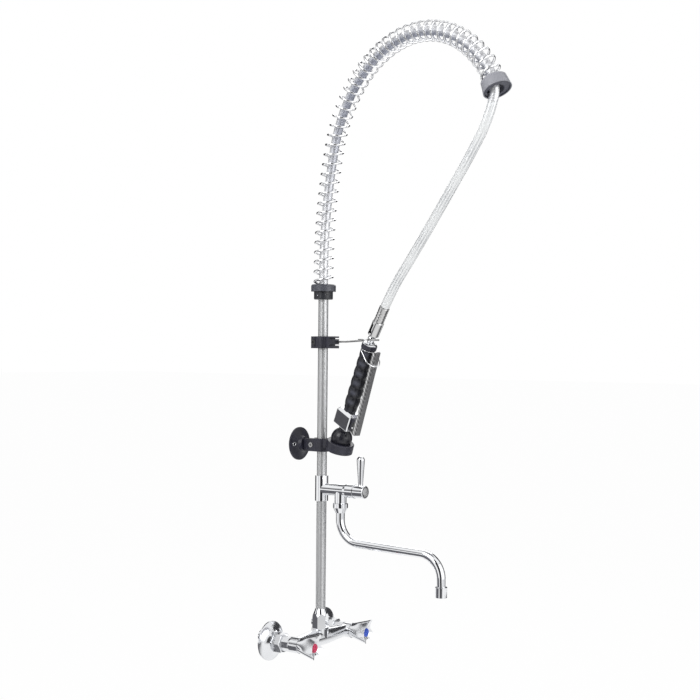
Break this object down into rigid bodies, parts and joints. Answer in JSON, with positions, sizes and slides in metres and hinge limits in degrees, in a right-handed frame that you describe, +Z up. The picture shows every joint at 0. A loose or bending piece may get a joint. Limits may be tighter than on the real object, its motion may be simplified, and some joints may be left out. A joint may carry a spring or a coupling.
{
  "type": "wall-mounted pre-rinse faucet",
  "caption": "Wall-mounted pre-rinse tap with a spring arch, hanging spray gun, swivel pot-filler spout and lobed mixer handles.",
  "frame": {"origin": "on the wall plane, midway between the two supply studs, at the height of their axes", "axes": "+Y into the wall along the studs, +Z up along the riser, +X towards the cold inlet"},
  "size_m": [0.2531, 0.4901, 1.0427],
  "materials": {
    "chrome": "polished chrome plate",
    "satin_tube": "satin chromed tube",
    "spring_steel": "polished stainless wire",
    "black_plastic": "satin black moulded plastic",
    "slate_plastic": "satin dark slate plastic",
    "grey_collar": "satin bluish grey",
    "red_index": "gloss red",
    "blue_index": "gloss blue",
    "hose_clear": "clear plastic over a pale grey braid",
    "hose_inner": "dark grey braid",
    "rubber": "black rubber",
    "brass": "turned brass",
    "white_plastic": "white moulded plastic"
  },
  "bodies": {
    "root": {"bracket_arm": "black_plastic", "bracket_clamp": "black_plastic", "bracket_screw": "chrome", "free_hose": "hose_clear", "grub_screws": "chrome", "headwork_cold": "chrome", "headwork_hot": "chrome", "holder_ring": "black_plastic", "hook_clamp": "black_plastic", "hook_screw": "chrome", "hook_wire": "chrome", "hose_in_spring": "hose_inner", "hose_nipple": "chrome", "inlet_washers": "rubber", "lower_ferrule": "black_plastic", "lower_riser": "satin_tube", "mixer_body": "chrome", "riser_nut": "chrome", "riser_olive": "brass", "rosette_cold": "chrome", "rosette_hot": "chrome", "spout_nut": "chrome", "spring": "spring_steel", "tap_cartridge": "brass", "tee_body": "chrome", "union_nut_cold": "chrome", "union_nut_hot": "chrome", "upper_collar": "grey_collar", "upper_riser": "satin_tube", "wall_disc": "black_plastic", "wall_union_cold": "chrome", "wall_union_hot": "chrome"},
    "handle_hot": {"handle_hot": "chrome", "spindle_hot": "brass", "index_button_hot": "red_index", "handle_screw_hot": "chrome"},
    "handle_cold": {"handle_cold": "chrome", "spindle_cold": "brass", "index_button_cold": "blue_index", "handle_screw_cold": "chrome"},
    "tap": {"tap_hub": "chrome", "tap_lever": "chrome"},
    "spout": {"spout_tube": "chrome", "spout_seal": "rubber", "aerator_housing": "chrome", "aerator_insert": "white_plastic"},
    "gun": {"gun_neck": "chrome", "gun_cap": "black_plastic", "gun_grip": "black_plastic", "gun_head": "chrome", "head_panels": "slate_plastic", "lever_bracket": "black_plastic", "lever_pin": "chrome", "spray_bell": "black_plastic", "nozzle_plate": "black_plastic", "coupling_nut": "chrome", "crimp_ferrule": "chrome"},
    "lever": {"squeeze_lever": "chrome", "valve_stem": "chrome"},
    "hold_ring": {"hold_ring": "chrome"}
  },
  "joints": [
    {"name": "hot_handle_turn", "type": "hinge", "parent": "root", "child": "handle_hot", "pos_m": [-0.075, -0.09, -0.006], "axis": [0, 1, 0], "range_deg": [0, 90]},
    {"name": "cold_handle_turn", "type": "hinge", "parent": "root", "child": "handle_cold", "pos_m": [0.075, -0.09, -0.006], "axis": [0, -1, 0], "range_deg": [0, 90]},
    {"name": "tap_turn", "type": "hinge", "parent": "root", "child": "tap", "pos_m": [0, -0.12, 0.248], "axis": [0, 1, 0], "range_deg": [0, 90]},
    {"name": "spout_swivel", "type": "hinge", "parent": "root", "child": "spout", "pos_m": [0, -0.09, 0.2], "axis": [0, 0, 1], "range_deg": [-110, 110]},
    {"name": "gun_tilt", "type": "hinge", "parent": "root", "child": "gun", "pos_m": [-0.01605, -0.1025, 0.3382], "axis": [-0.9563, 0.2924, 0], "range_deg": [0, 7], "deforming": ["free_hose"]},
    {"name": "lever_squeeze", "type": "hinge", "parent": "gun", "child": "lever", "pos_m": [-0.02702, -0.13837, 0.35712], "axis": [-0.9563, 0.2924, 0], "range_deg": [0, 3], "stiffness_Nm_per_rad": 2, "springref_deg": -14.32},
    {"name": "hold_ring_swing", "type": "hinge", "parent": "gun", "child": "hold_ring", "pos_m": [-0.03619, -0.16838, 0.48593], "axis": [-0.9563, 0.2924, 0], "range_deg": [0, 35]}
  ]
}
